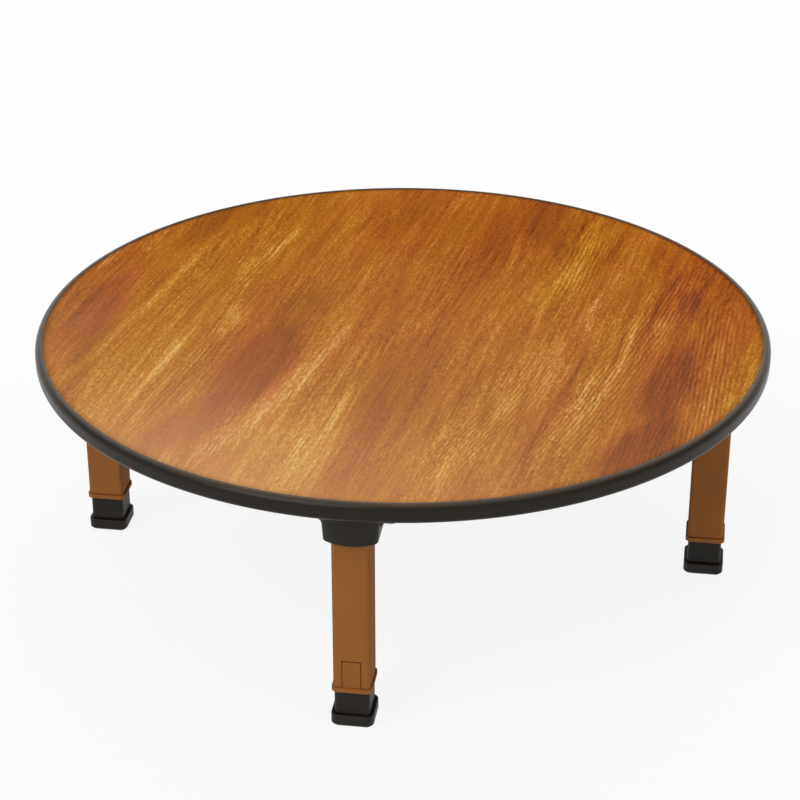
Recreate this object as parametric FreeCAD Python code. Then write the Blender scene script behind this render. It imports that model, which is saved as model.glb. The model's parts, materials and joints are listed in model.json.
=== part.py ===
import FreeCAD, Part
import math
import os

V = FreeCAD.Vector

# A round folding low table: four legs fold inwards on pins in moulded brackets under the top.
# Millimetres. The origin is on the floor, under the centre of the top. +Z is up.
# A leg is drawn as the right leg, on +X: X is outwards, Y is along its hinge pin.

# Whole table
overall_diameter = 800.0
overall_height = 281.0
leg_centre_inset = 56.0
overrun = 2.0

# Top: rim band, wood-grain sheet, board and backing sheet
rim_height = 20.0
rim_face_width = 8.2
rim_proud = 0.4
rim_top_rounding = 7.6
rim_bottom_rounding = 5.0
rim_tongue_depth = 10.0
rim_tongue_thickness = 3.0
rim_groove_clearance = 0.15
laminate_thickness = 0.8
backing_thickness = 0.6

# Leg tube
leg_depth = 40.0
leg_width = 38.0
leg_wall = 2.2
leg_corner_radius = 4.0
plug_clearance = 0.15

# Hinge pin and knuckle
hinge_drop = 32.0
pin_radius = 3.0
pin_length = 53.0
pin_chamfer = 0.6
pin_seat_clearance = 0.02
pin_running_clearance = 0.08
knuckle_shoulder_drop = 9.0
knuckle_plug_length = 24.0
knuckle_corner_rise = 1.4

# Screw that holds the knuckle in the leg tube
plug_screw_drop = 13.0
plug_screw_radius = 1.75
plug_screw_length = 13.0
plug_screw_head_radius = 3.4
plug_screw_head_depth = 1.7
screw_hole_clearance = 0.05

# Leaf that clicks the knuckle into its two places
leaf_thickness = 1.0
leaf_gap = 0.1
leaf_edge_in_groove = 1.5
leaf_tail = 24.0
leaf_relief_front = 9.0
leaf_relief_back = 14.0
leaf_relief_depth = 2.0

# Leg bracket
bracket_tail = 45.0
bracket_drop = 44.0
bracket_side_gap = 0.5
bracket_stop_gap = 0.4
bracket_cheek = 7.8
bracket_front_wall = 6.5
bracket_front_radius = 46.0
bracket_corner_radius = 7.0
bracket_edge_bevel = 0.8
bracket_draft_degrees = 5.0
bracket_roof = 3.0
heel_bevel_length = 20.0
heel_bevel_height = 16.0
wing_drop = 23.5
wing_reach = 12.0
wing_half_width = 46.0
wing_corner_radius = 8.0
flare_radius = 5.0
pocket_wall = 3.0

# Bracket screws
screw_radius = 2.0
screw_length = 18.0
screw_tip_length = 3.0
screw_head_radius = 4.0
screw_head_height = 2.4
screw_well_radius = 5.0
screw_flange = 5.0
screw_inset_tail = 11.0
screw_inset_reach = 12.0
screw_inset_side = 8.5
screw_tip_share = 0.5
screw_dome_share = 0.5
cross_reach_share = 0.5
cross_slot_width = 0.9
cross_slot_depth = 1.4

# Leg end cap: lip, tongue and hollow plug
lip_height = 6.0
lip_depth_proud = 1.6
lip_width_proud = 1.7
lip_bevel = 1.6
cap_plug_height = 38.0
cap_wall = 2.5
cap_boss_radius = 6.0
cap_boss_height = 12.0
tongue_width = 18.2
tongue_height = 30.5
tongue_sunk = 0.3
tongue_side_slit = 0.9
tongue_top_slit = 1.8
tube_end_gap = 0.8

# Foot, its screw and its rubber sole
foot_height = 41.4
foot_block_height = 14.5
foot_block_depth_proud = 1.9
foot_block_width_proud = 2.9
foot_corner_radius = 8.0
foot_bottom_bevel = 2.4
foot_top_bevel = 0.8
foot_neck_depth_inset = 1.6
foot_neck_width_inset = 0.8
foot_groove_height = 1.0
foot_groove_depth = 0.9
foot_spigot_height = 3.0
foot_spigot_radius = 7.0
foot_spigot_clearance = 0.1
foot_screw_length = 34.0
foot_screw_seat = 20.0
sole_proud = 1.0
sole_sunk = 1.5
sole_margin = 5.0
sole_clearance = 0.1

# How far the middle of a quarter round lies from the corner that it rounds, along each side
round_share = 1 - math.sqrt(0.5)

# Heights and radii that follow from the sizes above
top_radius = overall_diameter / 2
sheet_radius = top_radius - rim_face_width
leg_centre_radius = top_radius - leg_centre_inset
underside_z = overall_height - rim_height
laminate_top_z = overall_height - rim_proud
board_top_z = laminate_top_z - laminate_thickness
board_bottom_z = underside_z + backing_thickness
groove_middle_z = (board_top_z + board_bottom_z) / 2
hinge_z = underside_z - hinge_drop
half_depth = leg_depth / 2
half_width = leg_width / 2
tube_top_z = hinge_z - knuckle_shoulder_drop
foot_neck_depth = leg_depth - 2 * foot_neck_depth_inset
foot_neck_width = leg_width - 2 * foot_neck_width_inset
foot_block_depth = leg_depth + 2 * foot_block_depth_proud
foot_block_width = leg_width + 2 * foot_block_width_proud
lip_top_z = foot_height + lip_height
tube_bottom_z = lip_top_z + tube_end_gap
plug_depth = leg_depth - 2 * (leg_wall + plug_clearance)
plug_width = leg_width - 2 * (leg_wall + plug_clearance)
plug_screw_z = tube_top_z - plug_screw_drop
leaf_bottom_z = hinge_z + half_depth + leaf_gap
leaf_top_z = leaf_bottom_z + leaf_thickness
channel_half_width = half_width + bracket_side_gap
channel_front_x = leg_centre_radius + half_depth + bracket_stop_gap
bracket_front_x = channel_front_x + bracket_front_wall
bracket_tail_x = leg_centre_radius - bracket_tail
bracket_half_width = channel_half_width + bracket_cheek
bracket_bottom_z = underside_z - bracket_drop
bracket_spread = bracket_drop * math.tan(math.radians(bracket_draft_degrees))
wing_bottom_z = underside_z - wing_drop
wing_front_x = leg_centre_radius + wing_reach
screw_seat_z = underside_z - screw_flange


def box(x0, x1, y0, y1, z0, z1):
    return Part.makeBox(x1 - x0, y1 - y0, z1 - z0, V(x0, y0, z0))


def rounded_outline(x0, x1, half_y, radius, z):
    """Closed wire of a rectangle with round corners, symmetric about the XZ plane."""
    k = radius * round_share
    corners = [
        (V(x1 - radius, -half_y, z), V(x1 - k, -half_y + k, z), V(x1, -half_y + radius, z)),
        (V(x1, half_y - radius, z), V(x1 - k, half_y - k, z), V(x1 - radius, half_y, z)),
        (V(x0 + radius, half_y, z), V(x0 + k, half_y - k, z), V(x0, half_y - radius, z)),
        (V(x0, -half_y + radius, z), V(x0 + k, -half_y + k, z), V(x0 + radius, -half_y, z)),
    ]
    edges = []
    for i, (start, middle, end) in enumerate(corners):
        edges.append(Part.Arc(start, middle, end).toShape())
        edges.append(Part.LineSegment(end, corners[(i + 1) % len(corners)][0]).toShape())
    return Part.Wire(edges)


def rounded_prism(x0, x1, half_y, radius, z0, z1):
    face = Part.Face(rounded_outline(x0, x1, half_y, radius, z0))
    return face.extrude(V(0, 0, z1 - z0))


def leg_prism(depth, width, radius, z0, z1):
    """Round-cornered prism about the leg's centre line."""
    return rounded_prism(
        leg_centre_radius - depth / 2, leg_centre_radius + depth / 2, width / 2, radius, z0, z1
    )


def leg_outline(depth, width, radius, z):
    return rounded_outline(
        leg_centre_radius - depth / 2, leg_centre_radius + depth / 2, width / 2, radius, z
    )


def turned(points):
    """Solid turned about Z. A point is (r, z); a pair of points is the middle and end of an arc."""
    edges = []
    last = V(points[0][0], 0, points[0][1])
    for point in points[1:] + points[:1]:
        if isinstance(point[0], tuple):
            middle = V(point[0][0], 0, point[0][1])
            end = V(point[1][0], 0, point[1][1])
            edges.append(Part.Arc(last, middle, end).toShape())
        else:
            end = V(point[0], 0, point[1])
            edges.append(Part.LineSegment(last, end).toShape())
        last = end
    return Part.Face(Part.Wire(edges)).revolve(V(0, 0, 0), V(0, 0, 1), 360)


# Top

def disc(radius, z0, z1):
    return Part.makeCylinder(radius, z1 - z0, V(0, 0, z0))


def make_rim_band():
    """Round-nosed band with a tongue that is pushed into the groove in the board's edge."""
    inner = sheet_radius
    tongue_low = groove_middle_z - rim_tongue_thickness / 2
    tongue_high = groove_middle_z + rim_tongue_thickness / 2
    top_k = rim_top_rounding * round_share
    low_k = rim_bottom_rounding * round_share
    return turned([
        (inner, underside_z),
        (inner, tongue_low),
        (inner - rim_tongue_depth, tongue_low),
        (inner - rim_tongue_depth, tongue_high),
        (inner, tongue_high),
        (inner, laminate_top_z),
        (top_radius - rim_top_rounding, overall_height),
        ((top_radius - top_k, overall_height - top_k), (top_radius, overall_height - rim_top_rounding)),
        (top_radius, underside_z + rim_bottom_rounding),
        ((top_radius - low_k, underside_z + low_k), (top_radius - rim_bottom_rounding, underside_z)),
    ])


def screw_places():
    """The four screws of the right leg's bracket, two in each wing."""
    y = wing_half_width - screw_inset_side
    for x in (bracket_tail_x + screw_inset_tail, wing_front_x - screw_inset_reach):
        yield x, -y
        yield x, y


def around(shape, turn):
    """The shape turned about the table's centre line, in degrees."""
    moved = shape.copy()
    moved.rotate(V(0, 0, 0), V(0, 0, 1), turn)
    return moved


def cut_pilot_holes(sheet):
    """Holes for all four brackets' screws."""
    radius = screw_radius + screw_hole_clearance
    for turn in side_turns.values():
        for x, y in screw_places():
            hole = Part.makeCylinder(radius, screw_length, V(x, y, screw_seat_z))
            sheet = sheet.cut(around(hole, turn))
    return sheet


def make_board():
    board = disc(sheet_radius, board_bottom_z, board_top_z)
    half = rim_tongue_thickness / 2 + rim_groove_clearance
    groove = disc(sheet_radius + overrun, groove_middle_z - half, groove_middle_z + half)
    core = disc(sheet_radius - rim_tongue_depth - rim_groove_clearance, board_bottom_z, board_top_z)
    return cut_pilot_holes(board.cut(groove.cut(core)))


# Leg bracket

def boss_outline(half, front_x, z):
    """Round-nosed outline: straight sides, a round corner each side and one wide arc in front."""
    centre_x = front_x - bracket_front_radius
    inner = bracket_front_radius - bracket_corner_radius
    corner_y = half - bracket_corner_radius
    corner_x = centre_x + math.sqrt(inner * inner - corner_y * corner_y)
    grow = bracket_front_radius / inner
    front_angle = math.atan2(corner_y, corner_x - centre_x)
    middle_angle = (math.pi / 2 + front_angle) / 2
    middle_x = corner_x + bracket_corner_radius * math.cos(middle_angle)
    middle_y = corner_y + bracket_corner_radius * math.sin(middle_angle)
    join_x = centre_x + (corner_x - centre_x) * grow
    join_y = corner_y * grow
    tail_low = V(bracket_tail_x, -half, z)
    tail_high = V(bracket_tail_x, half, z)
    return Part.Wire([
        Part.LineSegment(tail_low, V(corner_x, -half, z)).toShape(),
        Part.Arc(V(corner_x, -half, z), V(middle_x, -middle_y, z), V(join_x, -join_y, z)).toShape(),
        Part.Arc(V(join_x, -join_y, z), V(front_x, 0, z), V(join_x, join_y, z)).toShape(),
        Part.Arc(V(join_x, join_y, z), V(middle_x, middle_y, z), V(corner_x, half, z)).toShape(),
        Part.LineSegment(V(corner_x, half, z), tail_high).toShape(),
        Part.LineSegment(tail_high, tail_low).toShape(),
    ])


def make_boss():
    """The round-nosed body round the leg's top, wider upwards, with a bevelled lower edge."""
    bevel = bracket_edge_bevel
    return Part.makeLoft([
        boss_outline(bracket_half_width - bevel, bracket_front_x - bevel, bracket_bottom_z),
        boss_outline(bracket_half_width, bracket_front_x, bracket_bottom_z + bevel),
        boss_outline(bracket_half_width + bracket_spread, bracket_front_x, underside_z),
    ], True, True)


def make_flare():
    """Concave rounding between the body's sides and the underside of the wings."""
    rise = bracket_drop - wing_drop
    side = bracket_half_width + bracket_spread * rise / bracket_drop
    low_z = wing_bottom_z - flare_radius
    k = flare_radius * round_share
    x = bracket_tail_x
    tips = []
    for sign in (-1, 1):
        tips.append((
            V(x, sign * (side + flare_radius), wing_bottom_z),
            V(x, sign * (side + k), wing_bottom_z - k),
            V(x, sign * side, low_z),
        ))
    wire = Part.Wire([
        Part.Arc(*tips[0]).toShape(),
        Part.LineSegment(tips[0][2], tips[1][2]).toShape(),
        Part.Arc(tips[1][2], tips[1][1], tips[1][0]).toShape(),
        Part.LineSegment(tips[1][0], tips[0][0]).toShape(),
    ])
    return Part.Face(wire).extrude(V(wing_front_x - bracket_tail_x, 0, 0))


def heel_cut():
    """Slopes the lower inner ends of the two cheeks."""
    y = wing_half_width
    x = bracket_tail_x
    z = bracket_bottom_z
    points = [
        V(x - overrun, -y, z - overrun),
        V(x + heel_bevel_length, -y, z - overrun),
        V(x + heel_bevel_length, -y, z),
        V(x, -y, z + heel_bevel_height),
        V(x - overrun, -y, z + heel_bevel_height),
    ]
    face = Part.Face(Part.makePolygon(points + points[:1]))
    return face.extrude(V(0, 2 * y, 0))


def make_bracket():
    body = rounded_prism(
        bracket_tail_x, wing_front_x, wing_half_width, wing_corner_radius, wing_bottom_z, underside_z
    )
    body = body.fuse([make_boss(), make_flare()]).removeSplitter()
    body = body.cut(heel_cut())

    # The channel that the knuckle turns in and the folded leg lies in
    channel = box(
        bracket_tail_x - overrun,
        channel_front_x,
        -channel_half_width,
        channel_half_width,
        bracket_bottom_z - overrun,
        leaf_top_z,
    )
    relief = box(
        leg_centre_radius - leaf_relief_back,
        leg_centre_radius + leaf_relief_front,
        -channel_half_width,
        channel_half_width,
        leaf_top_z,
        leaf_top_z + leaf_relief_depth,
    )
    leaf_slot = leaf_box(leaf_top_z)
    bore = Part.makeCylinder(
        pin_radius + pin_seat_clearance,
        2 * (wing_half_width + overrun),
        V(leg_centre_radius, -wing_half_width - overrun, hinge_z),
        V(0, 1, 0),
    )
    cuts = [channel, relief, leaf_slot, bore]

    # Hollows that open onto the board: one over the roof and one in each wing
    roof_z = leaf_top_z + leaf_relief_depth + bracket_roof
    cuts.append(box(
        bracket_tail_x + pocket_wall,
        leg_centre_radius + leaf_relief_front,
        -channel_half_width + pocket_wall,
        channel_half_width - pocket_wall,
        roof_z,
        underside_z + overrun,
    ))
    pocket_x0 = bracket_tail_x + screw_inset_tail + screw_well_radius + pocket_wall
    pocket_x1 = wing_front_x - screw_inset_reach - screw_well_radius - pocket_wall
    pocket_y0 = bracket_half_width + bracket_spread
    pocket_y1 = wing_half_width - pocket_wall
    for sign in (-1, 1):
        near, far = sorted((sign * pocket_y0, sign * pocket_y1))
        cuts.append(box(
            pocket_x0, pocket_x1, near, far, wing_bottom_z + pocket_wall, underside_z + overrun
        ))

    # Screw wells from below, with a flange left for the heads
    for x, y in screw_places():
        cuts.append(Part.makeCylinder(
            screw_well_radius, screw_seat_z - wing_bottom_z + overrun, V(x, y, wing_bottom_z - overrun)
        ))
        cuts.append(Part.makeCylinder(
            screw_radius + screw_hole_clearance, screw_flange + overrun, V(x, y, screw_seat_z)
        ))
    for tool in cuts:
        body = body.cut(tool)
    return body


def leaf_box(top_z):
    half = channel_half_width + leaf_edge_in_groove
    return box(
        leg_centre_radius - leaf_tail,
        leg_centre_radius + half_depth,
        -half,
        half,
        leaf_bottom_z,
        top_z,
    )


def pan_screw(radius, length, head_radius, head_height):
    """Screw pointing up, its head's seat at the origin, with a domed head and a cross in it."""
    flat = head_radius * screw_dome_share
    middle_x = head_radius - (head_radius - flat) * round_share
    middle_z = -head_height * (1 - round_share)
    dome = turned([
        (0, 0),
        (head_radius, 0),
        ((middle_x, middle_z), (flat, -head_height)),
        (0, -head_height),
    ])
    straight = length - screw_tip_length
    shank = Part.makeCylinder(radius, straight)
    tip = Part.makeCone(radius, radius * screw_tip_share, screw_tip_length, V(0, 0, straight))
    body = dome.fuse([shank, tip]).removeSplitter()
    reach = head_radius * cross_reach_share
    half = cross_slot_width / 2
    for x, y in ((reach, half), (half, reach)):
        body = body.cut(box(-x, x, -y, y, -head_height - overrun, -head_height + cross_slot_depth))
    return body


def make_bracket_screws():
    screw = pan_screw(screw_radius, screw_length, screw_head_radius, screw_head_height)
    group = []
    for x, y in screw_places():
        placed = screw.copy()
        placed.translate(V(x, y, screw_seat_z))
        group.append(placed)
    return Part.makeCompound(group)


def make_hinge_pin():
    pin = Part.makeCylinder(
        pin_radius, pin_length, V(leg_centre_radius, -pin_length / 2, hinge_z), V(0, 1, 0)
    )
    rims = [edge for edge in pin.Edges if isinstance(edge.Curve, Part.Circle)]
    return pin.makeChamfer(pin_chamfer, rims)


# Leg

def make_knuckle():
    """Turns on the pin; flat on top and inside, so that the leaf clicks onto either flat."""
    r = half_depth
    corner = r + knuckle_corner_rise
    flat = math.sqrt(corner * corner - r * r)
    bottom = -knuckle_shoulder_drop
    outer = r * (1 - round_share)
    inner = corner * (1 - round_share)

    def at(x, z):
        return V(leg_centre_radius + x, -half_width, hinge_z + z)

    outline = Part.Wire([
        Part.LineSegment(at(-r, bottom), at(r, bottom)).toShape(),
        Part.LineSegment(at(r, bottom), at(r, 0)).toShape(),
        Part.Arc(at(r, 0), at(outer, outer), at(0, r)).toShape(),
        Part.LineSegment(at(0, r), at(-flat, r)).toShape(),
        Part.Arc(at(-flat, r), at(-inner, inner), at(-r, flat)).toShape(),
        Part.LineSegment(at(-r, flat), at(-r, bottom)).toShape(),
    ])
    head = Part.Face(outline).extrude(V(0, leg_width, 0))
    plug = leg_prism(
        plug_depth, plug_width, leg_wall, tube_top_z - knuckle_plug_length, tube_top_z
    )
    body = head.fuse(plug)
    body = body.cut(Part.makeCylinder(
        pin_radius + pin_running_clearance,
        leg_width + 2 * overrun,
        V(leg_centre_radius, -half_width - overrun, hinge_z),
        V(0, 1, 0),
    ))
    return body.cut(plug_screw(screw_hole_clearance))


def plug_screw(grow):
    """Countersunk screw, flush with the leg's inner face; grow makes its hole."""
    x = leg_centre_radius - half_depth
    head = Part.makeCone(
        plug_screw_head_radius + grow,
        plug_screw_radius + grow,
        plug_screw_head_depth,
        V(x, 0, plug_screw_z),
        V(1, 0, 0),
    )
    shank = Part.makeCylinder(
        plug_screw_radius + grow, plug_screw_length + grow, V(x, 0, plug_screw_z), V(1, 0, 0)
    )
    return head.fuse(shank).removeSplitter()


def make_plug_screw():
    screw = plug_screw(0)
    x = leg_centre_radius - half_depth
    reach = plug_screw_head_radius * cross_reach_share
    half = cross_slot_width / 2
    for y, z in ((reach, half), (half, reach)):
        slot = box(x - overrun, x + cross_slot_depth, -y, y, plug_screw_z - z, plug_screw_z + z)
        screw = screw.cut(slot)
    return screw


def make_leg_tube():
    tube = leg_prism(leg_depth, leg_width, leg_corner_radius, tube_bottom_z, tube_top_z)
    hollow = leg_prism(
        leg_depth - 2 * leg_wall,
        leg_width - 2 * leg_wall,
        leg_corner_radius - leg_wall,
        tube_bottom_z - overrun,
        tube_top_z + overrun,
    )
    notch_half = tongue_width / 2 + tongue_side_slit
    notch = box(
        leg_centre_radius + half_depth - leg_wall - plug_clearance,
        leg_centre_radius + half_depth + overrun,
        -notch_half,
        notch_half,
        tube_bottom_z - overrun,
        lip_top_z + tongue_height + tongue_top_slit,
    )
    return tube.cut(hollow).cut(notch).cut(plug_screw(screw_hole_clearance))


def make_end_cap():
    """Brown cap: a lip under the tube, a hollow plug inside it and a tongue in its notch."""
    lip_depth = leg_depth + 2 * lip_depth_proud
    lip_width = leg_width + 2 * lip_width_proud
    corner = leg_corner_radius + lip_depth_proud
    lip = leg_prism(lip_depth, lip_width, corner, foot_height + lip_bevel, lip_top_z)
    bevel = Part.makeLoft([
        leg_outline(lip_depth - 2 * lip_bevel, lip_width - 2 * lip_bevel, corner - lip_bevel, foot_height),
        leg_outline(lip_depth, lip_width, corner, foot_height + lip_bevel),
    ], True, True)
    plug = leg_prism(plug_depth, plug_width, leg_wall, lip_top_z, lip_top_z + cap_plug_height)
    tongue = box(
        leg_centre_radius,
        leg_centre_radius + half_depth - tongue_sunk,
        -tongue_width / 2,
        tongue_width / 2,
        lip_top_z,
        lip_top_z + tongue_height,
    )
    body = lip.fuse([bevel, plug, tongue]).removeSplitter()
    hollow = leg_prism(
        plug_depth - 2 * cap_wall,
        plug_width - 2 * cap_wall,
        leg_wall,
        lip_top_z,
        lip_top_z + cap_plug_height + overrun,
    )
    boss = Part.makeCylinder(cap_boss_radius, cap_boss_height, V(leg_centre_radius, 0, lip_top_z))
    spigot_hole = Part.makeCylinder(
        foot_spigot_radius + foot_spigot_clearance,
        foot_spigot_height + foot_spigot_clearance + overrun,
        V(leg_centre_radius, 0, foot_height - overrun),
    )
    screw_hole = Part.makeCylinder(
        screw_radius + screw_hole_clearance,
        foot_screw_length,
        V(leg_centre_radius, 0, foot_screw_seat),
    )
    return body.cut(hollow).fuse(boss).removeSplitter().cut(spigot_hole).cut(screw_hole)


# Foot

def make_foot():
    """Black foot: a neck under the cap's lip, a round-cornered block and a recess for the sole."""
    neck = leg_prism(
        foot_neck_depth, foot_neck_width, leg_corner_radius, foot_block_height, foot_height
    )
    low_z = sole_proud
    block_parts = []
    levels = [
        (low_z, foot_bottom_bevel),
        (low_z + foot_bottom_bevel, 0),
        (foot_block_height - foot_top_bevel, 0),
        (foot_block_height, foot_top_bevel),
    ]
    for z, inset in levels:
        block_parts.append(leg_outline(
            foot_block_depth - 2 * inset,
            foot_block_width - 2 * inset,
            foot_corner_radius - inset,
            z,
        ))
    block = Part.makeLoft(block_parts, True, True)
    groove_z = foot_block_height
    ring = leg_prism(
        foot_neck_depth + overrun, foot_neck_width + overrun, leg_corner_radius,
        groove_z, groove_z + foot_groove_height,
    ).cut(leg_prism(
        foot_neck_depth - 2 * foot_groove_depth, foot_neck_width - 2 * foot_groove_depth,
        leg_corner_radius - foot_groove_depth, groove_z, groove_z + foot_groove_height,
    ))
    spigot = Part.makeCylinder(
        foot_spigot_radius, foot_spigot_height, V(leg_centre_radius, 0, foot_height)
    )
    recess = leg_prism(
        foot_block_depth - 2 * sole_margin, foot_block_width - 2 * sole_margin,
        foot_corner_radius - foot_bottom_bevel, low_z - overrun, low_z + sole_sunk,
    )
    well = Part.makeCylinder(
        screw_well_radius, foot_screw_seat - low_z + overrun, V(leg_centre_radius, 0, low_z - overrun)
    )
    shaft = Part.makeCylinder(
        screw_radius + screw_hole_clearance, foot_height, V(leg_centre_radius, 0, foot_screw_seat)
    )
    body = neck.fuse([block, spigot]).removeSplitter()
    for tool in (ring, recess, well, shaft):
        body = body.cut(tool)
    return body


def make_foot_screw():
    screw = pan_screw(screw_radius, foot_screw_length, screw_head_radius, screw_head_height)
    screw.translate(V(leg_centre_radius, 0, foot_screw_seat))
    return screw


def make_sole():
    depth = foot_block_depth - 2 * (sole_margin + sole_clearance)
    width = foot_block_width - 2 * (sole_margin + sole_clearance)
    corner = foot_corner_radius - foot_bottom_bevel - sole_clearance
    return leg_prism(depth, width, corner, 0, sole_proud + sole_sunk)


# Every piece, by node name

side_turns = {"right": 0, "back": 90, "left": 180, "front": 270}

side_pieces = {
    "leg_bracket": make_bracket,
    "bracket_screws": make_bracket_screws,
    "hinge_pin": make_hinge_pin,
    "detent_leaf": lambda: leaf_box(leaf_top_z),
    "leg_knuckle": make_knuckle,
    "knuckle_screw": make_plug_screw,
    "leg_tube": make_leg_tube,
    "leg_end_cap": make_end_cap,
    "foot": make_foot,
    "foot_screw": make_foot_screw,
    "foot_sole": make_sole,
}


def all_pieces():
    pieces = {
        "top_laminate": disc(sheet_radius, board_top_z, laminate_top_z),
        "top_board": make_board(),
        "backing_sheet": cut_pilot_holes(disc(sheet_radius, underside_z, board_bottom_z)),
        "rim_band": make_rim_band(),
    }
    for name, make in side_pieces.items():
        piece = make()
        for side, turn in side_turns.items():
            pieces[side + "_" + name] = around(piece, turn)
    return pieces


os.makedirs("parts", exist_ok=True)
for node, shape in all_pieces().items():
    shape.exportStep("parts/" + node + ".step")
    print(node, len(shape.Solids), shape.isValid(), round(shape.Volume))
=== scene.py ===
import json
import math

import bpy
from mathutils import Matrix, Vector


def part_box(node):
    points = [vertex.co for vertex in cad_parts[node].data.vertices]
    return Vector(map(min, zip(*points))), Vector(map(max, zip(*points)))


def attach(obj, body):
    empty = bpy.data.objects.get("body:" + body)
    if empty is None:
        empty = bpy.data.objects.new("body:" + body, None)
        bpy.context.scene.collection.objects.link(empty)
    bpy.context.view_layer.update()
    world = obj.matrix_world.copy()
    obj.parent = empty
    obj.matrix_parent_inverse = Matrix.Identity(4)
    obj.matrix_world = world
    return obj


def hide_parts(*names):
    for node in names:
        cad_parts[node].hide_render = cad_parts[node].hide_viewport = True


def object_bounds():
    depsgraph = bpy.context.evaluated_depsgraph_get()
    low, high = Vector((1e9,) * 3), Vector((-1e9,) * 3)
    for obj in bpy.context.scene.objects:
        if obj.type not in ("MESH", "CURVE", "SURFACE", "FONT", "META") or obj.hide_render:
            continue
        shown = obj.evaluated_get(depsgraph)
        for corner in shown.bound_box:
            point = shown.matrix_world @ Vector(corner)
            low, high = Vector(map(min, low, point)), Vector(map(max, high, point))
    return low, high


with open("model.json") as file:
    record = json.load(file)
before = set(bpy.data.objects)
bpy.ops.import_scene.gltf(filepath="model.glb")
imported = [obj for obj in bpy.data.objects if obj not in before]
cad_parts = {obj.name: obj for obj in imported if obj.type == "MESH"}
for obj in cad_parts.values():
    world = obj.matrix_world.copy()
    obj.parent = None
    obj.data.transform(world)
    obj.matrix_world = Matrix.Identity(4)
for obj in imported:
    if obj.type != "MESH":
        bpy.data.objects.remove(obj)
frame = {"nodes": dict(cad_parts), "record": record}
cad_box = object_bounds()

# The looks of a round folding low table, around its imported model. Metres, +Z up.

scene = bpy.context.scene
scene.view_settings.view_transform = "Standard"

table_height = cad_box[1].z

# Camera: the photograph's viewing angle, in its 800 by 800 frame
picture_size = 800
focal_pixels = 2254.7
top_centre_pixel = (402.94, 323.38)
camera_azimuth = math.radians(8.2)
camera_elevation = math.radians(27.45)
camera_distance = 2.4731
sensor_width = 36.0


def make_camera():
    """Looks so that the middle of the table's top falls on its pixel in the photograph."""
    level, rise = math.cos(camera_elevation), math.sin(camera_elevation)
    sideways, ahead = math.sin(camera_azimuth), math.cos(camera_azimuth)
    right = Vector((ahead, sideways, 0))
    forward = Vector((-sideways * level, ahead * level, -rise))
    up = right.cross(forward)
    metres_per_pixel = camera_distance / focal_pixels
    offset_right = (top_centre_pixel[0] - picture_size / 2) * metres_per_pixel
    offset_up = (picture_size / 2 - top_centre_pixel[1]) * metres_per_pixel
    target = Vector((0, 0, table_height)) - right * offset_right - up * offset_up
    camera = bpy.data.objects.new("camera", bpy.data.cameras.new("camera"))
    camera.data.sensor_width = sensor_width
    camera.data.lens = focal_pixels * sensor_width / picture_size
    camera.location = target - forward * camera_distance
    camera.rotation_mode = "QUATERNION"
    camera.rotation_quaternion = forward.to_track_quat("-Z", "Y")
    scene.collection.objects.link(camera)
    scene.camera = camera


# Nodes

def srgb(red, green, blue):
    """Linear colour of a screen colour given from 0 to 255."""
    shares = [value / 255 for value in (red, green, blue)]
    return tuple(s / 12.92 if s <= 0.04045 else ((s + 0.055) / 1.055) ** 2.4 for s in shares) + (1.0,)


class Paint:
    """A node tree, with short calls that add nodes to it."""

    def __init__(self, owner):
        owner.use_nodes = True
        self.owner = owner
        self.tree = owner.node_tree
        self.shader = self.tree.nodes.get("Principled BSDF")

    def feed(self, socket, value):
        if isinstance(value, bpy.types.NodeSocket):
            self.tree.links.new(value, socket)
        else:
            socket.default_value = value

    def add(self, kind, inputs, **settings):
        node = self.tree.nodes.new("ShaderNode" + kind)
        for name, value in settings.items():
            setattr(node, name, value)
        for key, value in inputs.items():
            self.feed(node.inputs[key], value)
        return node

    def place(self):
        return self.add("TexCoord", {}).outputs["Object"]

    def maths(self, operation, *values):
        return self.add("Math", dict(enumerate(values)), operation=operation).outputs[0]

    def stretch(self, vector, scale, shift=(0, 0, 0), turn=0.0):
        """The vector turned about Z, scaled and then shifted."""
        inputs = {"Vector": vector, "Scale": scale, "Location": shift, "Rotation": (0, 0, turn)}
        return self.add("Mapping", inputs).outputs[0]

    def noise(self, vector, scale=1.0, detail=2.0, roughness=0.5):
        inputs = {"Vector": vector, "Scale": scale, "Detail": detail, "Roughness": roughness}
        return self.add("TexNoise", inputs).outputs[0]

    def span(self, value, low, high, to_low=0.0, to_high=1.0):
        """Smooth step of the value from low to high."""
        return self.add(
            "MapRange", {0: value, 1: low, 2: high, 3: to_low, 4: to_high},
            interpolation_type="SMOOTHSTEP",
        ).outputs[0]

    def ramp(self, factor, stops):
        """Colour along a list of (position, colour)."""
        node = self.add("ValToRGB", {0: factor})
        elements = node.color_ramp.elements
        for element, (position, colour) in zip(elements, (stops[0], stops[-1])):
            element.position = position
            element.color = colour
        for position, colour in stops[1:-1]:
            elements.new(position).color = colour
        return node.outputs[0]

    def mix(self, factor, first, second, blend_type="MIX"):
        node = self.add("Mix", {0: factor, 6: first, 7: second}, data_type="RGBA", blend_type=blend_type)
        return node.outputs[2]

    def dress(self, **shader):
        """Sets or links sockets of the surface shader, named in lower case with underscores."""
        for socket in self.shader.inputs:
            key = socket.name.lower().replace(" ", "_")
            if key in shader:
                self.feed(socket, shader[key])

    def bump(self, height, distance, strength=1.0):
        inputs = {"Height": height, "Distance": distance, "Strength": strength}
        self.feed(self.shader.inputs["Normal"], self.add("Bump", inputs).outputs[0])


def new_paint(name):
    return Paint(bpy.data.materials.new(name))


# Wood-grain laminate. Places are in metres, seen from above; a lean is in degrees clockwise from +Y

# How the grain leans, spreads towards the front, and bends
grain_lean = 7.5
grain_fan = 0.10
grain_bend = 0.030
grain_waver = 0.004

# How far apart the layers of noise are taken
layer_steps = (17.3, 5.1, 2.7)

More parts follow.
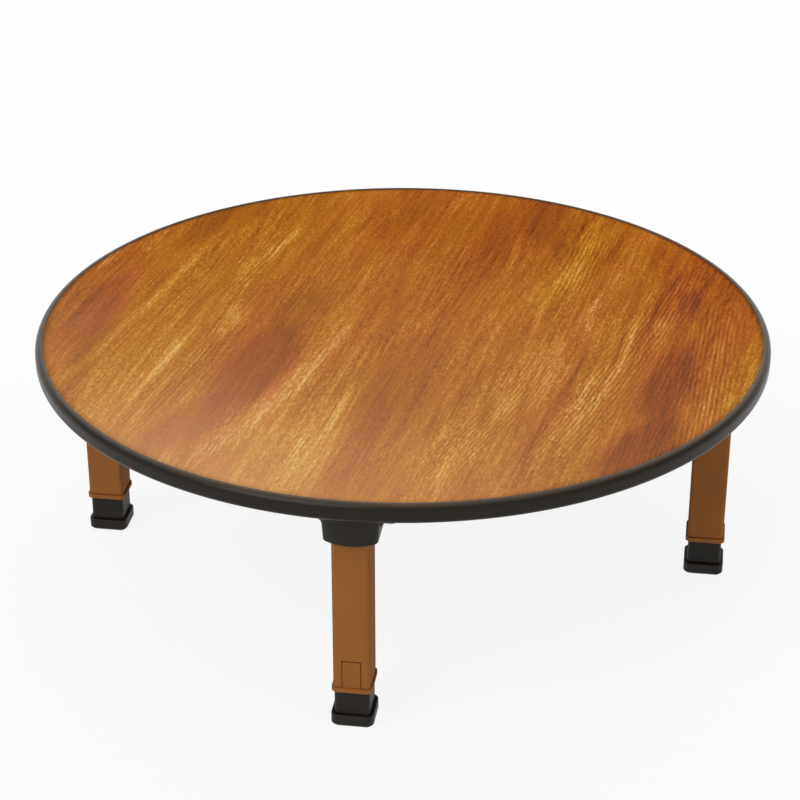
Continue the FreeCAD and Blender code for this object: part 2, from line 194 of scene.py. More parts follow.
# Long streaks: shares of the half width where a streak begins to fade and is gone, and where its ends fade
streak_fade = (0.2, 1.5)
streak_end_fade = (0.45, 1.0)

# Growth lines round the hearts
ring_spacing = 0.0046
ring_wander = 0.012

# Even share and share of the fine lines, in the streaks and in the wide fields of lines
streak_shares = {"haze": 0.66, "lines": 0.32}
field_shares = {"haze": 0.30, "lines": 1.0}

# The tone runs from 0, dark, to 1, light
tone_level = 0.472
tone_shares = {"broad": 0.36, "middle": 0.36, "pores": -0.06, "rings": 0.065}
fine_shares = {"thin": 0.62, "fibre": 0.75, "speckle": 0.38}
least_fineness = 0.3

# The kind runs from 0, red-brown, to 1, golden
kind_level = 0.36
kind_shares = {"wide": 1.6, "narrow": 0.8}
red_share = 0.6

wood_roughness = 0.42
wood_specular = 0.012
wood_relief = {"depth": 0.00025, "strength": 0.5}

# The print between its red-brown and its golden kind, from dark to light
red_tones = [
    (0.00, srgb(108, 40, 2)),
    (0.25, srgb(154, 72, 5)),
    (0.50, srgb(183, 98, 16)),
    (0.72, srgb(204, 129, 52)),
    (1.00, srgb(230, 174, 110)),
]
gold_tones = [
    (0.00, srgb(112, 52, 0)),
    (0.25, srgb(155, 81, 2)),
    (0.50, srgb(183, 107, 8)),
    (0.72, srgb(206, 140, 42)),
    (1.00, srgb(234, 186, 100)),
]
red_brown = srgb(158, 64, 34)
# paler print, which also carries a painted sheen
pale_print_and_sheen_tone = srgb(226, 176, 128)

# Painted shade along the rim, a darker line strongest at the back: its shares, how far from the middle they
# are reached, its width and its colour
painted_edge_shade = {"front": 0.25, "back": 0.85}
painted_edge_shade_reach = 0.30
painted_edge_shade_width = 0.0080
painted_edge_shade_colour = srgb(84, 46, 22)

# x, y, half length, half width, lean, and how much darker
dark_patches = [
    (0.325, 0.060, 0.330, 0.085, 8, 0.09),
    (-0.230, 0.240, 0.140, 0.120, 10, 0.05),
    (0.060, 0.290, 0.200, 0.180, 4, 0.05),
    (-0.144, 0.130, 0.190, 0.018, 8, 0.08),
    (-0.116, 0.012, 0.085, 0.036, 5, 0.13),
    (-0.140, -0.120, 0.130, 0.047, 8, 0.20),
    (-0.132, -0.168, 0.050, 0.018, 8, 0.09),
    (-0.186, -0.272, 0.100, 0.032, 24, 0.17),
    (-0.002, -0.276, 0.130, 0.018, 5, 0.14),
    (0.020, -0.110, 0.130, 0.050, 8, 0.08),
    (0.294, -0.112, 0.120, 0.034, 8, 0.24),
    (0.272, -0.262, 0.100, 0.042, 24, 0.33),
    (0.308, 0.104, 0.040, 0.018, 6, 0.14),
    (0.335, 0.090, 0.150, 0.040, 8, 0.06),
    (0.215, 0.190, 0.150, 0.010, 10, 0.12),
    (0.128, 0.320, 0.090, 0.032, 6, 0.12),
    (0.150, 0.240, 0.060, 0.018, -10, 0.10),
    (-0.268, 0.240, 0.100, 0.024, 14, 0.11),
    (-0.342, -0.010, 0.110, 0.030, 8, 0.13),
    (-0.372, -0.020, 0.110, 0.020, 8, 0.12),
    (-0.330, -0.100, 0.090, 0.016, 10, 0.10),
    (0.070, 0.220, 0.180, 0.022, 5, 0.09),
    (-0.060, 0.320, 0.120, 0.040, 8, 0.07),
    (-0.165, -0.020, 0.060, 0.010, 4, 0.08),
    (-0.216, -0.190, 0.080, 0.010, 14, 0.12),
    (0.040, -0.200, 0.070, 0.026, 14, 0.08),
]

# The same for the lighter ones, which are streaky
light_patches = [
    (-0.272, -0.180, 0.230, 0.0550, 12, 0.08),
    (-0.235, 0.120, 0.220, 0.0400, 13, 0.06),
    (-0.186, 0.160, 0.080, 0.0135, 17, 0.10),
    (-0.192, -0.012, 0.050, 0.0280, 6, 0.14),
    (-0.238, -0.125, 0.070, 0.0160, 10, 0.06),
    (-0.066, -0.056, 0.055, 0.0120, 10, 0.07),
    (-0.096, -0.156, 0.090, 0.0230, 13, 0.19),
    (-0.132, -0.262, 0.080, 0.0240, 24, 0.17),
    (-0.050, -0.272, 0.130, 0.0320, 5, 0.09),
    (-0.070, -0.290, 0.160, 0.0520, 8, 0.10),
    (0.085, -0.300, 0.100, 0.0400, 8, 0.11),
    (0.152, -0.112, 0.120, 0.0480, 15, 0.10),
    (0.130, 0.020, 0.130, 0.0440, 12, 0.06),
    (0.254, -0.028, 0.065, 0.0160, 10, 0.07),
    (0.232, -0.084, 0.060, 0.0160, 17, 0.07),
    (0.208, -0.144, 0.050, 0.0140, 13, 0.08),
    (0.190, -0.220, 0.080, 0.0189, 16, 0.08),
    (0.284, 0.030, 0.030, 0.0162, 5, 0.06),
    (0.172, 0.156, 0.055, 0.0300, 6, 0.08),
    (0.192, 0.270, 0.070, 0.0203, 9, 0.08),
    (0.215, 0.080, 0.130, 0.0189, 11, 0.10),
    (0.377, -0.064, 0.110, 0.0216, 10, 0.11),
    (-0.362, 0.150, 0.070, 0.0162, 12, 0.11),
    (-0.318, 0.190, 0.050, 0.0162, 12, 0.09),
]

# The same for how red-brown
red_patches = [
    (0.325, 0.060, 0.330, 0.085, 8, 0.22),
    (-0.140, -0.130, 0.150, 0.052, 8, 0.90),
    (-0.186, -0.280, 0.120, 0.040, 24, 0.80),
    (-0.002, -0.276, 0.130, 0.022, 5, 0.45),
    (0.294, -0.112, 0.130, 0.038, 8, 0.50),
    (0.272, -0.262, 0.110, 0.044, 24, 0.45),
    (0.308, 0.104, 0.050, 0.022, 6, 0.45),
    (0.152, 0.200, 0.016, 0.011, 0, 0.50),
    (-0.342, -0.010, 0.140, 0.034, 8, 0.65),
    (-0.330, -0.230, 0.080, 0.026, 14, 0.30),
    (0.110, -0.380, 0.060, 0.050, 5, 0.35),
]

# How golden, against red
gold_patches = [
    (-0.220, 0.200, 0.340, 0.130, 12, 0.70),
    (-0.260, -0.130, 0.240, 0.070, 12, 0.55),
    (0.175, 0.200, 0.200, 0.050, 10, 0.60),
    (0.235, 0.040, 0.220, 0.040, 12, 0.45),
    (0.376, -0.070, 0.150, 0.026, 10, 1.20),
    (-0.070, -0.270, 0.190, 0.070, 8, 0.70),
    (-0.100, 0.020, 0.140, 0.050, 5, 0.35),
]

# Where the print is paler, partly a painted sheen, mostly towards the front
pale_print_and_painted_sheen_patches = [
    (-0.050, -0.750, 1.150, 0.900, 0, 0.36),
    (-0.200, -0.380, 0.300, 0.260, 0, 0.28),
    (-0.370, -0.080, 0.240, 0.100, 0, 0.09),
    (0.020, -0.420, 0.260, 0.180, 0, 0.10),
]

# Long curved streaks: y at the far and the near end; x at the far end, halfway and at the near end;
# half width, spacing of the fine lines in it (0 for none), and how much lighter
grain_bands = [
    (0.312, -0.260, -0.2352, -0.2866, -0.3495, 0.0066, 0.0048, 0.23),
    (0.320, -0.016, -0.1552, -0.1808, -0.2232, 0.0116, 0.0060, 0.26),
    (0.064, -0.304, -0.2080, -0.2368, -0.2720, 0.0104, 0.0064, 0.12),
    (0.056, -0.304, -0.1688, -0.1768, -0.2288, 0.0072, 0.0060, 0.15),
    (0.040, -0.304, -0.0528, -0.0856, -0.1344, 0.0120, 0.0068, 0.23),
    (0.304, 0.064, 0.2024, 0.1848, 0.1776, 0.0056, 0.0048, 0.12),
    (0.336, 0.188, 0.1800, 0.1728, 0.1664, 0.0036, 0, -0.18),
    (0.212, -0.048, 0.3048, 0.2744, 0.2560, 0.0036, 0, -0.21),
    (0.192, -0.016, 0.2864, 0.2608, 0.2448, 0.0056, 0.0052, 0.12),
    (0.056, -0.208, 0.2592, 0.2376, 0.2104, 0.0060, 0.0044, 0.22),
    (0.056, -0.192, 0.2456, 0.2336, 0.2136, 0.0021, 0, -0.21),
    (0.008, -0.336, 0.2128, 0.1824, 0.1520, 0.0048, 0, -0.17),
    (-0.152, -0.320, 0.2328, 0.2160, 0.1952, 0.0036, 0, -0.14),
    (-0.064, -0.208, 0.2216, 0.2072, 0.1880, 0.0060, 0.0044, 0.17),
    (-0.192, -0.344, 0.1984, 0.1776, 0.1600, 0.0040, 0.0040, 0.17),
    (-0.224, -0.360, 0.0784, 0.0680, 0.0560, 0.0048, 0.0044, 0.15),
    (-0.224, -0.344, 0.1472, 0.1344, 0.1232, 0.0040, 0.0040, 0.14),
    (-0.144, -0.232, 0.1184, 0.1136, 0.1072, 0.0040, 0, -0.14),
    (-0.152, -0.240, 0.1024, 0.1016, 0.0976, 0.0040, 0.0040, 0.15),
    (-0.128, -0.232, 0.1440, 0.1344, 0.1248, 0.0040, 0.0040, 0.15),
    (0.064, -0.048, 0.2768, 0.2800, 0.2848, 0.0136, 0.0044, 0.17),
    (0.056, 0.000, 0.3144, 0.3168, 0.3232, 0.0072, 0.0044, 0.15),
]

# The same for wide fields of fine lines
line_fields = [
    (0.256, -0.368, 0.3160, 0.2496, 0.1520, 0.0336, 0.0050, 0.13),
    (-0.032, -0.376, 0.1696, 0.1240, 0.0640, 0.0368, 0.0045, 0.10),
    (0.328, 0.064, 0.2080, 0.1880, 0.1720, 0.0320, 0.0051, 0.10),
    (0.136, -0.320, 0.3480, 0.3344, 0.3240, 0.0288, 0.0051, 0.13),
    (-0.048, -0.320, -0.1904, -0.2120, -0.2480, 0.0240, 0.0051, 0.09),
]

# Growth lines drawn out along the grain: x, y of the heart, how many times longer than wide,
# where across they begin and end, and their strength
ring_groups = [
    (0.306, -0.260, 11.0, 0.016, 0.100, 1.00),
    (0.304, 0.022, 3.0, 0.003, 0.020, 0.80),
    (0.152, 0.200, 5.0, 0.006, 0.060, 0.70),
    (-0.134, -0.175, 4.0, 0.008, 0.050, 0.60),
    (0.020, -0.330, 6.0, 0.008, 0.060, 0.50),
]


def grain_place(x, y):
    """Across and along the grain, of a place on the table."""
    turn = math.radians(grain_lean)
    return x * math.cos(turn) - y * math.sin(turn), x * math.sin(turn) + y * math.cos(turn)


def patch_sum(paint, place, patches, core=0.5):
    """Sum of soft-edged ellipses; core is how far in from the edge, as a share, each is at full strength."""
    total = 0.0
    for x, y, half_length, half_width, lean, strength in patches:
        inputs = {
            "Vector": place,
            "Location": (*grain_place(x, y), 0),
            "Rotation": (0, 0, math.radians(grain_lean - lean)),
            "Scale": (half_width, half_length, 1),
        }
        local = paint.add("Mapping", inputs, vector_type="TEXTURE").outputs[0]
        nearness = paint.add("TexGradient", {0: local}, gradient_type="SPHERICAL").outputs[1]
        total = paint.maths("ADD", total, paint.span(nearness, 0.0, core, 0.0, strength))
    return total


def streaks(paint, place, width, length, layer, detail=2.0, roughness=0.5):
    """Noise stretched along the grain, about zero. Each layer is a pattern of its own."""
    shift = tuple(layer * step for step in layer_steps)
    local = paint.stretch(place, (1 / width, 1 / length, 0), shift)
    return paint.maths("SUBTRACT", paint.noise(local, 1.0, detail, roughness), 0.5)


def weighted_sum(paint, *terms):
    """Sum of (value, weight) pairs."""
    total = 0.0
    for value, weight in terms:
        total = paint.maths("MULTIPLY_ADD", value, weight, total)
    return total


def band_sum(paint, bands, haze, lines):
    """Streaks that follow a curve; haze is the even share and lines the share of the fine lines."""
    place = paint.place()
    parts = paint.add("SeparateXYZ", {0: place}).outputs
    aside = weighted_sum(
        paint,
        (parts[0], 1.0),
        (streaks(paint, place, 0.030, 0.110, 18), 0.008),
        (streaks(paint, place, 0.012, 0.040, 19), 0.0020),
    )
    total = 0.0
    for far, near, x_far, x_middle, x_near, half_width, spacing, strength in bands:
        half = (far - near) / 2
        way = paint.maths("MULTIPLY_ADD", parts[1], 1 / half, -(far + near) / (2 * half))
        slope, curve = (x_far - x_near) / 2, (x_far + x_near) / 2 - x_middle
        middle = paint.maths("MULTIPLY_ADD", paint.maths("MULTIPLY_ADD", way, curve, slope), way, x_middle)
        offset = paint.maths("SUBTRACT", aside, middle)
        begin, end = (share * half_width for share in streak_fade)
        level = paint.span(paint.maths("ABSOLUTE", offset), begin, end, 1.0, 0.0)
        if spacing:
            wave = paint.maths("COSINE", paint.maths("MULTIPLY", offset, 2 * math.pi / spacing))
            level = paint.maths("MULTIPLY", level, paint.maths("MULTIPLY_ADD", wave, lines, haze))
        ends = paint.span(paint.maths("ABSOLUTE", way), *streak_end_fade, strength, 0.0)
        total = paint.maths("MULTIPLY_ADD", level, ends, total)
    return total


def ring_sum(paint, place):
    """Light and dark growth lines round each heart, fading towards it and outwards."""
    wander = streaks(paint, place, 0.040, 0.160, 11, 2.0)
    total = 0.0
    for x, y, aspect, begin, end, strength in ring_groups:
        across, along = grain_place(x, y)
        local = paint.stretch(place, (1, 1 / aspect, 0), (-across, -along / aspect, 0))
        distance = paint.add("VectorMath", {0: local}, operation="LENGTH").outputs["Value"]
        phase = weighted_sum(paint, (distance, 1.0), (wander, ring_wander))
        wave = paint.maths("SINE", paint.maths("MULTIPLY", phase, 2 * math.pi / ring_spacing))
        rise = paint.span(distance, 0.4 * begin, begin)
        fall = paint.span(distance, begin, end, strength, 0.0)
        total = paint.maths("MULTIPLY_ADD", wave, paint.maths("MULTIPLY", rise, fall), total)
    return total


def bent_grain(paint):
    """Across and along the grain, bent and wavering, so that no streak is straight."""
    straight = paint.stretch(paint.place(), (1, 1, 1), turn=math.radians(grain_lean))
    parts = paint.add("SeparateXYZ", {0: straight}).outputs
    across, along = parts[0], parts[1]
    fan = paint.maths("MULTIPLY", across, along)
    bend = streaks(paint, straight, 0.20, 0.60, 1)
    waver = streaks(paint, straight, 0.030, 0.110, 2)
    bent = weighted_sum(paint, (across, 1.0), (fan, -grain_fan), (bend, grain_bend), (waver, grain_waver))
    return paint.add("CombineXYZ", {0: bent, 1: along}).outputs[0], straight, across, along


def wood_figure(paint, place):
    """The layers of the figure by name, each about zero."""
    return {
        "broad": streaks(paint, place, 0.070, 0.50, 6, 3.0),
        "middle": streaks(paint, place, 0.014, 0.16, 7, 3.0, 0.55),
        "thin": streaks(paint, place, 0.0032, 0.080, 8, 2.0),
        "fibre": streaks(paint, place, 0.0022, 0.0075, 9, 2.0, 0.6),
        "speckle": streaks(paint, place, 0.0026, 0.0042, 10, 2.0, 0.6),
    }


def feathered_place(paint, straight, across, along):
    """Across and along the grain, with ragged edges for the patches."""
    ragged = weighted_sum(
        paint,
        (along, 1.0),
        (streaks(paint, straight, 0.0040, 0.30, 3), 0.090),
        (streaks(paint, straight, 0.0160, 0.30, 4), 0.080),
    )
    feathered = weighted_sum(
        paint,
        (across, 1.0),
        (streaks(paint, straight, 0.030, 0.090, 5), 0.018),
        (streaks(paint, straight, 0.010, 0.030, 14), 0.005),
    )
    return paint.add("CombineXYZ", {0: feathered, 1: ragged}).outputs[0]


def wood_tone(paint, place, patch_place, figure):
    """How light the print is, from 0 to 1."""
    middle, fibre = figure["middle"], figure["fibre"]
    pores = paint.span(streaks(paint, place, 0.0018, 0.0090, 13, 1.0), 0.10, 0.24)
    dark = patch_sum(paint, patch_place, dark_patches)
    light = patch_sum(paint, patch_place, light_patches)
    lines = paint.span(streaks(paint, place, 0.0022, 0.170, 17, 1.0), -0.12, 0.14)
    lined = weighted_sum(paint, (lines, 0.9), (middle, 1.6), (fibre, 0.8), (1.0, 0.55))
    curved = paint.maths(
        "ADD",
        band_sum(paint, grain_bands, **streak_shares),
        band_sum(paint, line_fields, **field_shares),
    )
    bands = paint.maths("MULTIPLY", curved, weighted_sum(paint, (middle, 1.2), (fibre, 0.5), (1.0, 1.0)))
    fine = weighted_sum(paint, *((figure[name], share) for name, share in fine_shares.items()))
    fineness = weighted_sum(
        paint, (dark, -1.4), (light, 0.8), (streaks(paint, place, 0.05, 0.12, 20), 1.6), (1.0, 1.05)
    )
    return weighted_sum(
        paint,
        (dark, -1.0),
        (paint.maths("MULTIPLY", light, lined), 1.0),
        (bands, 1.0),
        (figure["broad"], tone_shares["broad"]),
        (middle, tone_shares["middle"]),
        (paint.maths("MULTIPLY", fine, paint.maths("MAXIMUM", fineness, least_fineness)), 1.0),
        (pores, tone_shares["pores"]),
        (ring_sum(paint, place), tone_shares["rings"]),
        (1.0, tone_level),
    )


def wood_colour(paint, tone, straight, soft_place, patch_place):
    """The print's colour, between its kinds, with its red places and its pale places, which are partly a
    painted sheen.
    """
    kind = weighted_sum(
        paint,
        (patch_sum(paint, soft_place, gold_patches, 0.8), 1.0),
        (streaks(paint, straight, 0.045, 0.40, 15, 3.0), kind_shares["wide"]),
        (streaks(paint, straight, 0.020, 0.050, 16, 2.0), kind_shares["narrow"]),
        (1.0, kind_level),
    )
    colour = paint.mix(paint.span(kind, 0.0, 1.0), paint.ramp(tone, red_tones), paint.ramp(tone, gold_tones))
    red = paint.maths("MULTIPLY", patch_sum(paint, patch_place, red_patches), red_share)
    colour = paint.mix(red, colour, paint.mix(1.0, colour, red_brown, "COLOR"))
    # painted sheen, partly paler print: the colour screened paler towards the front
    pale_and_sheen = paint.mix(1.0, colour, pale_print_and_sheen_tone, "SCREEN")
    return paint.mix(patch_sum(paint, soft_place, pale_print_and_painted_sheen_patches, 1.0), colour, pale_and_sheen)


def with_painted_edge_shade(paint, colour):
    """The colour with painted shade along the rim, least at the front."""
    flat_place = paint.stretch(paint.place(), (1, 1, 0))
    radius = paint.add("VectorMath", {0: flat_place}, operation="LENGTH").outputs["Value"]
    depth = paint.add("SeparateXYZ", {0: paint.place()}).outputs[1]
    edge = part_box("top_laminate")[1].x
    level = paint.span(depth, -painted_edge_shade_reach, painted_edge_shade_reach, painted_edge_shade["front"], painted_edge_shade["back"])
    # painted shade: the wood darkens over the last few millimetres before the rim
    edge_shade_mask = paint.span(radius, edge - painted_edge_shade_width, edge, 0.0, level)
    return paint.mix(edge_shade_mask, colour, painted_edge_shade_colour)


def wood_grain_laminate():
    paint = new_paint("wood_grain_laminate")
    place, straight, across, along = bent_grain(paint)
    patch_place = feathered_place(paint, straight, across, along)
    soft_place = paint.add("CombineXYZ", {0: across, 1: along}).outputs[0]
    figure = wood_figure(paint, place)
    tone = wood_tone(paint, place, patch_place, figure)
    rough = weighted_sum(paint, (figure["fibre"], 0.20), (figure["middle"], 0.10), (1.0, wood_roughness))
    paint.dress(
        base_color=with_painted_edge_shade(paint, wood_colour(paint, tone, straight, soft_place, patch_place)),
        roughness=rough,
        specular_ior_level=wood_specular,
    )
    relief = weighted_sum(paint, (figure["fibre"], 1.0), (figure["thin"], 0.5), (figure["speckle"], 0.4))
    paint.bump(relief, wood_relief["depth"], wood_relief["strength"])
    return paint.owner


# Plastics, rubber, board and metals

cloud_shades = {"dark": 0.86, "light": 1.14}
worn_shade = 0.78


def shaded(colour, share):
    """The colour made darker or lighter."""
    return tuple(min(1.0, share * part) for part in colour[:3]) + (1.0,)


def moulded_plastic(name, colour, roughness, specular=0.5, grain=0.0009, depth=0.00003):
    """Fine moulded skin with faint cloudiness."""
    paint = new_paint(name)
    place = paint.place()
    cloud = paint.maths("SUBTRACT", paint.noise(place, 22, 3), 0.5)
    skin = paint.noise(place, 1 / grain, 2, 0.6)
    dark, light = shaded(colour, cloud_shades["dark"]), shaded(colour, cloud_shades["light"])
    shade = weighted_sum(paint, (cloud, 1.0), (skin, 0.5), (1.0, 0.25))
    paint.dress(
        base_color=paint.ramp(shade, [(0, dark), (1, light)]),
        roughness=weighted_sum(paint, (cloud, 0.10), (1.0, roughness)),
        specular_ior_level=specular,
    )
    paint.bump(skin, depth)
    return paint.owner


def rim_plastic():
    """Moulded band with a painted highlight, a paler colour, along the top of its nose, which is also a
    little shinier.
    """
    owner = moulded_plastic("rim_plastic", rim_colour, 0.32, 0.25)
    paint = Paint(owner)
    height = paint.add("SeparateXYZ", {0: paint.place()}).outputs[2]
    nose = paint.span(height, table_height - rim_nose_drop, table_height)
    base = paint.shader.inputs["Base Color"].links[0].from_socket
    paint.dress(
        # painted highlight: the nose's colour made paler
        base_color=paint.mix(nose, base, rim_nose_highlight_colour),
        specular_ior_level=weighted_sum(paint, (nose, rim_nose_gloss), (1.0, rim_gloss)),
    )
    return owner


def raw_board():
    """Pressed chips seen at the cut edge and in the holes."""
    paint = new_paint("board_core")
    place = paint.place()
    chips = paint.noise(paint.stretch(place, (260, 260, 900)), 1.0, 3, 0.7)
    stops = [(0.3, srgb(112, 82, 52)), (0.55, srgb(158, 124, 86)), (0.75, srgb(196, 164, 120))]
    paint.dress(
        base_color=paint.ramp(chips, stops),
        roughness=0.85,
        specular_ior_level=0.25,
    )
    paint.bump(chips, 0.0003)
    return paint.owner


def backing_paper():
    """Plain brown backing sheet with fine fibres."""
    paint = new_paint("backing_sheet")
    place = paint.place()
    fibre = paint.noise(paint.stretch(place, (900, 240, 1), turn=0.3), 1.0, 3, 0.6)
    cloud = paint.noise(place, 9, 3)
    shade = weighted_sum(paint, (fibre, 0.55), (cloud, 0.45))
    paint.dress(
        base_color=paint.ramp(shade, [(0.35, srgb(70, 50, 36)), (0.65, srgb(98, 72, 52))]),
        roughness=0.62,
        specular_ior_level=0.35,
    )
    paint.bump(fibre, 0.00004)
    return paint.owner


def plated_steel(name, colour, roughness):
    """Metal with a mottled, slightly worn plating."""
    paint = new_paint(name)
    place = paint.place()
    mottle = paint.noise(place, 420, 3, 0.6)
    fine = paint.noise(place, 2600, 2, 0.5)
    paint.dress(
        base_color=paint.ramp(mottle, [(0.35, shaded(colour, worn_shade)), (0.65, colour)]),
        metallic=1.0,
        roughness=weighted_sum(paint, (mottle, 0.16), (1.0, roughness)),
    )
    paint.bump(fine, 0.00001)
    return paint.owner


rim_colour = srgb(32, 26, 17)
# painted highlight colour for the top of the rim's nose
rim_nose_highlight_colour = srgb(78, 64, 50)
rim_nose_drop = 0.0032
rim_gloss = 0.20
rim_nose_gloss = 0.20
bracket_colour = srgb(32, 26, 17)
knuckle_colour = srgb(32, 29, 25)
leg_colour = srgb(154, 98, 51)
foot_colour = srgb(26, 21, 14)
rubber_colour = srgb(26, 26, 26)

materials = {
    "wood_grain_laminate": wood_grain_laminate(),
    "board_core": raw_board(),
    "backing_sheet": backing_paper(),
    "rim_plastic": rim_plastic(),
    "bracket_plastic": moulded_plastic("bracket_plastic", bracket_colour, 0.46, 0.25),
    "knuckle_plastic": moulded_plastic("knuckle_plastic", knuckle_colour, 0.50, 0.25),
    "leg_plastic": moulded_plastic("leg_plastic", leg_colour, 0.70, 0.06),
    "foot_plastic": moulded_plastic("foot_plastic", foot_colour, 0.52, 0.25),
    "sole_rubber": moulded_plastic("sole_rubber", rubber_colour, 0.80, 0.3),
    "zinc_steel": plated_steel("zinc_steel", srgb(206, 206, 200), 0.26),
    "spring_steel": plated_steel("spring_steel", srgb(150, 154, 160), 0.30),
}

for subpart in frame["record"]["subparts"]:
    for material_slot in frame["nodes"][subpart["node"]].material_slots:
        material_slot.material = materials[subpart["material_slot"]]


# Finer rim and wood-grain sheet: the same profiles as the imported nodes, turned in many more steps

turn_steps = 480
arc_steps = 14
rim_face_width = 0.0082
rim_proud = 0.0004
rim_inner_drop = 4 * rim_proud
rim_top_rounding = 0.0076
rim_bottom_rounding = 0.0050
sheet_edge_cover = 0.0004
sheet_edge_dip = 0.0005
sheet_edge_rounding = 0.0022
sheet_centre_radius = 0.0001
sharp_angle = math.radians(28)


def quarter_round(centre_r, centre_z, radius, start):
    """Points of a quarter circle in the (r, z) plane, from the start angle in degrees, upwards."""
    for step in range(arc_steps + 1):
        angle = math.radians(start + 90 * step / arc_steps)
        yield centre_r + radius * math.cos(angle), centre_z + radius * math.sin(angle)


def lathe(name, profile, slot_name, body, *nodes):
    """Closed solid turned about the table's centre line; profile is (r, z), anticlockwise."""
    count = len(profile)
    points, faces = [], []
    for step in range(turn_steps):
        angle = 2 * math.pi * step / turn_steps
        points += [(r * math.cos(angle), r * math.sin(angle), z) for r, z in profile]
        after = (step + 1) % turn_steps
        for i in range(count):
            j = (i + 1) % count
            faces.append((step * count + i, after * count + i, after * count + j, step * count + j))
    mesh = bpy.data.meshes.new(name)
    mesh.from_pydata(points, [], faces)
    mesh.shade_smooth()
    mesh.set_sharp_from_angle(angle=sharp_angle)
    mesh.materials.append(materials[slot_name])
    piece = bpy.data.objects.new(name, mesh)
    scene.collection.objects.link(piece)
    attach(piece, body)
    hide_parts(*nodes)
    return piece


def make_rim():
    """Round-nosed band round the board, a little prouder than the sheet."""
    low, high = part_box("rim_band")
    outer = high.x
    inner = outer - rim_face_width
    below, above = rim_bottom_rounding, rim_top_rounding
    profile = [(inner, low.z)]
    profile += quarter_round(outer - below, low.z + below, below, -90)
    profile += quarter_round(outer - above, high.z - above, above, 0)
    profile += [(inner, high.z - rim_proud), (inner - sheet_edge_cover, high.z - rim_inner_drop)]
    profile += [(inner - sheet_edge_cover, low.z + rim_proud)]
    lathe("rim_band_fine", profile, "rim_plastic", "table", "rim_band")


def make_sheet():
    """Its edge rounds down a little, which leaves a fine groove along the rim."""
    low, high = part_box("top_laminate")
    profile = [(sheet_centre_radius, low.z), (high.x, low.z)]
    for step in range(arc_steps + 1):
        share = step / arc_steps
        profile.append((high.x - sheet_edge_rounding * share, high.z - sheet_edge_dip * (1 - share) ** 2))
    profile.append((sheet_centre_radius, high.z))
    lathe("top_laminate_fine", profile, "wood_grain_laminate", "table", "top_laminate")


make_rim()
make_sheet()


# Floor: near white, keeps the table's shadow, and can be looked through from below

floor_reach = 40.0
wall_radius = 36.0
wall_height = 7.5
wall_steps = 96
floor_drop = 0.0002
stage_white_share = {"floor": 0.88, "wall": 1.0}
stage_matt_colour = (0.95, 0.95, 0.95, 1)


def seen_ray(paint):
    """One for the rays that show a background: camera, glossy and transmission rays."""
    rays = paint.add("LightPath", {}).outputs
    seen = paint.maths("MAXIMUM", rays["Is Camera Ray"], rays["Is Glossy Ray"])
    return paint.maths("MAXIMUM", seen, rays["Is Transmission Ray"])


def stage_paint(name):
    """Matt white that the seen rays find nearly pure white; it can be looked through from behind."""
    paint = new_paint(name)
    paint.tree.nodes.remove(paint.shader)
    matt = paint.add("BsdfDiffuse", {"Color": stage_matt_colour}).outputs[0]
    white = paint.add("Emission", {"Color": (1, 1, 1, 1), "Strength": 1.0}).outputs[0]
    clear = paint.add("BsdfTransparent", {}).outputs[0]
    share = paint.maths("MULTIPLY", seen_ray(paint), stage_white_share[name])
    pale_and_sheen = paint.add("MixShader", {0: share, 1: matt, 2: white}).outputs[0]
    behind = paint.add("NewGeometry", {}).outputs["Backfacing"]
    both = paint.add("MixShader", {0: behind, 1: pale_and_sheen, 2: clear}).outputs[0]
    paint.feed(paint.tree.nodes["Material Output"].inputs["Surface"], both)
    return paint.owner


def make_stage(name, points, faces):
    mesh = bpy.data.meshes.new(name)
    mesh.from_pydata(points, [], faces)
    mesh.materials.append(stage_paint(name))
    piece = bpy.data.objects.new(name, mesh)
    scene.collection.objects.link(piece)


def make_floor():
    square = ((-1, -1), (1, -1), (1, 1), (-1, 1))
    make_stage("floor", [(x * floor_reach, y * floor_reach, -floor_drop) for x, y in square], [(0, 1, 2, 3)])


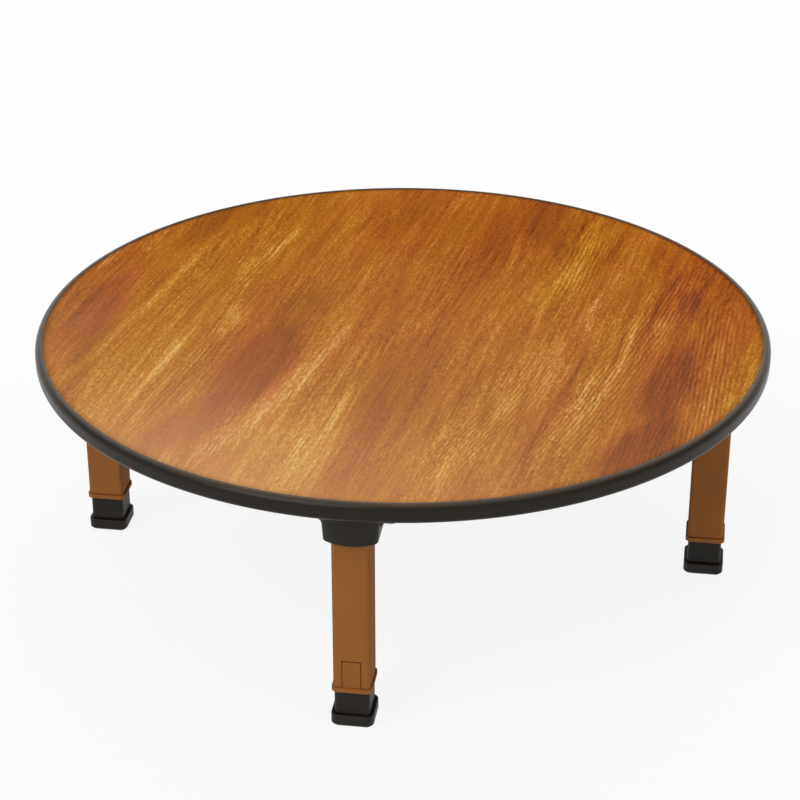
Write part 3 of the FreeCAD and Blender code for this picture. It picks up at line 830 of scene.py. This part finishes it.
def make_wall():
    """Low white wall far away, so that the horizon is white too."""
    points, faces = [], []
    for step in range(wall_steps):
        angle = 2 * math.pi * step / wall_steps
        x, y = wall_radius * math.cos(angle), wall_radius * math.sin(angle)
        points += [(x, y, -floor_drop), (x, y, wall_height)]
        after = (step + 1) % wall_steps
        faces.append((2 * step, 2 * step + 1, 2 * after + 1, 2 * after))
    make_stage("wall", points, faces)


# Light: an even surround and soft lamps

surround_level = 0.38


def make_world():
    world = bpy.data.worlds.new("surround")
    scene.world = world
    background = Paint(world).tree.nodes["Background"]
    background.inputs["Color"].default_value = (1, 1, 1, 1)
    background.inputs["Strength"].default_value = surround_level


def direction(azimuth, elevation):
    """Unit vector from the table towards a lamp; azimuth 0 is in front and 90 is on the right."""
    turn, rise = math.radians(azimuth), math.radians(elevation)
    return Vector((math.sin(turn) * math.cos(rise), -math.cos(turn) * math.cos(rise), math.sin(rise)))


def place_lamp(name, lamp, back, distance):
    holder = bpy.data.objects.new(name, lamp)
    holder.location = Vector((0, 0, table_height)) + back * distance
    holder.rotation_mode = "QUATERNION"
    holder.rotation_quaternion = (-back).to_track_quat("-Z", "Y")
    scene.collection.objects.link(holder)


def make_sun(name, azimuth, elevation, level, spread):
    """Even soft light; level is what it gives a white surface that faces it."""
    lamp = bpy.data.lights.new(name, "SUN")
    lamp.energy = level * math.pi
    lamp.angle = math.radians(spread)
    place_lamp(name, lamp, direction(azimuth, elevation), 3.0)


def make_panel(name, azimuth, elevation, level, width, height, distance):
    """Soft box; level is what it gives a white surface at the table that faces it."""
    lamp = bpy.data.lights.new(name, "AREA")
    lamp.shape = "RECTANGLE"
    lamp.size, lamp.size_y = width, height
    lamp.energy = level * math.pi * math.pi * distance * distance
    place_lamp(name, lamp, direction(azimuth, elevation), distance)


make_camera()
make_world()
make_sun("key", azimuth=-35, elevation=42, level=0.38, spread=40)
make_sun("fill", azimuth=50, elevation=45, level=0.11, spread=60)
make_panel("back", azimuth=-174, elevation=48, level=0.32, width=4.0, height=2.9, distance=3.0)
make_floor()
make_wall()
